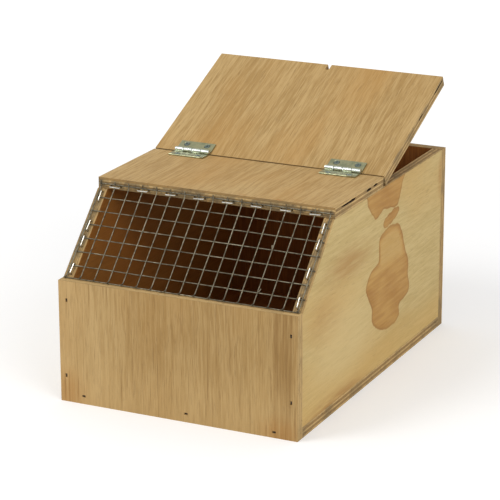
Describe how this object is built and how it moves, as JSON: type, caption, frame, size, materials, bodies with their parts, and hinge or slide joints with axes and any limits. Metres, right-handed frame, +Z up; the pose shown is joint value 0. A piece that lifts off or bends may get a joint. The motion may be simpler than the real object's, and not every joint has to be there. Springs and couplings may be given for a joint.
{
  "type": "bird box",
  "caption": "Plywood box for small birds, with a sloping wire mesh front, a short fixed top board and a hinged lid over the rear half.",
  "frame": {"origin": "on the surface the box stands on, under the middle of its footprint", "axes": "+Z up, +Y towards the back panel and the lifting edge of the lid, +X to the right seen from the mesh front"},
  "size_m": [0.21, 0.306, 0.2258],
  "materials": {
    "face_ply": "bare pine plywood, sanded",
    "side_ply": "bare pine plywood, pale, with a brown stain",
    "floor_ply": "bare pine plywood",
    "mesh_wire": "galvanised, dull",
    "staple_steel": "bright",
    "hinge_zinc": "bright zinc plate",
    "screw_zinc": "zinc plate",
    "brad_steel": "dull, darkened"
  },
  "bodies": {
    "box": {"back_brad_1": "brad_steel", "back_brad_2": "brad_steel", "back_brad_3": "brad_steel", "back_brad_4": "brad_steel", "back_brad_5": "brad_steel", "back_brad_6": "brad_steel", "back_brad_7": "brad_steel", "back_panel": "face_ply", "board_staple_1": "staple_steel", "board_staple_2": "staple_steel", "board_staple_3": "staple_steel", "board_staple_4": "staple_steel", "board_staple_5": "staple_steel", "board_staple_6": "staple_steel", "board_staple_7": "staple_steel", "board_staple_8": "staple_steel", "floor_brad_1": "brad_steel", "floor_brad_2": "brad_steel", "floor_brad_3": "brad_steel", "floor_brad_4": "brad_steel", "floor_brad_5": "brad_steel", "floor_brad_6": "brad_steel", "floor_panel": "floor_ply", "front_brad_1": "brad_steel", "front_brad_2": "brad_steel", "front_brad_3": "brad_steel", "front_brad_4": "brad_steel", "front_brad_5": "brad_steel", "front_brad_6": "brad_steel", "front_brad_7": "brad_steel", "front_panel": "face_ply", "left_board_screw_1": "screw_zinc", "left_board_screw_2": "screw_zinc", "left_hinge_board_leaf": "hinge_zinc", "left_hinge_pin": "hinge_zinc", "left_side_panel": "side_ply", "left_staple_1": "staple_steel", "left_staple_2": "staple_steel", "left_staple_3": "staple_steel", "left_staple_4": "staple_steel", "right_board_screw_1": "screw_zinc", "right_board_screw_2": "screw_zinc", "right_hinge_board_leaf": "hinge_zinc", "right_hinge_pin": "hinge_zinc", "right_side_panel": "side_ply", "right_staple_1": "staple_steel", "right_staple_2": "staple_steel", "right_staple_3": "staple_steel", "right_staple_4": "staple_steel", "top_board": "face_ply", "wire_mesh": "mesh_wire"},
    "lid": {"left_hinge_lid_leaf": "hinge_zinc", "left_lid_screw_1": "screw_zinc", "left_lid_screw_2": "screw_zinc", "lid_panel": "face_ply", "right_hinge_lid_leaf": "hinge_zinc", "right_lid_screw_1": "screw_zinc", "right_lid_screw_2": "screw_zinc"}
  },
  "joints": [
    {"name": "lid_hinge", "type": "hinge", "parent": "box", "child": "lid", "pos_m": [0, 0.01345, 0.1723], "axis": [1, 0, 0], "range_deg": [-23.5, 156.5]}
  ]
}
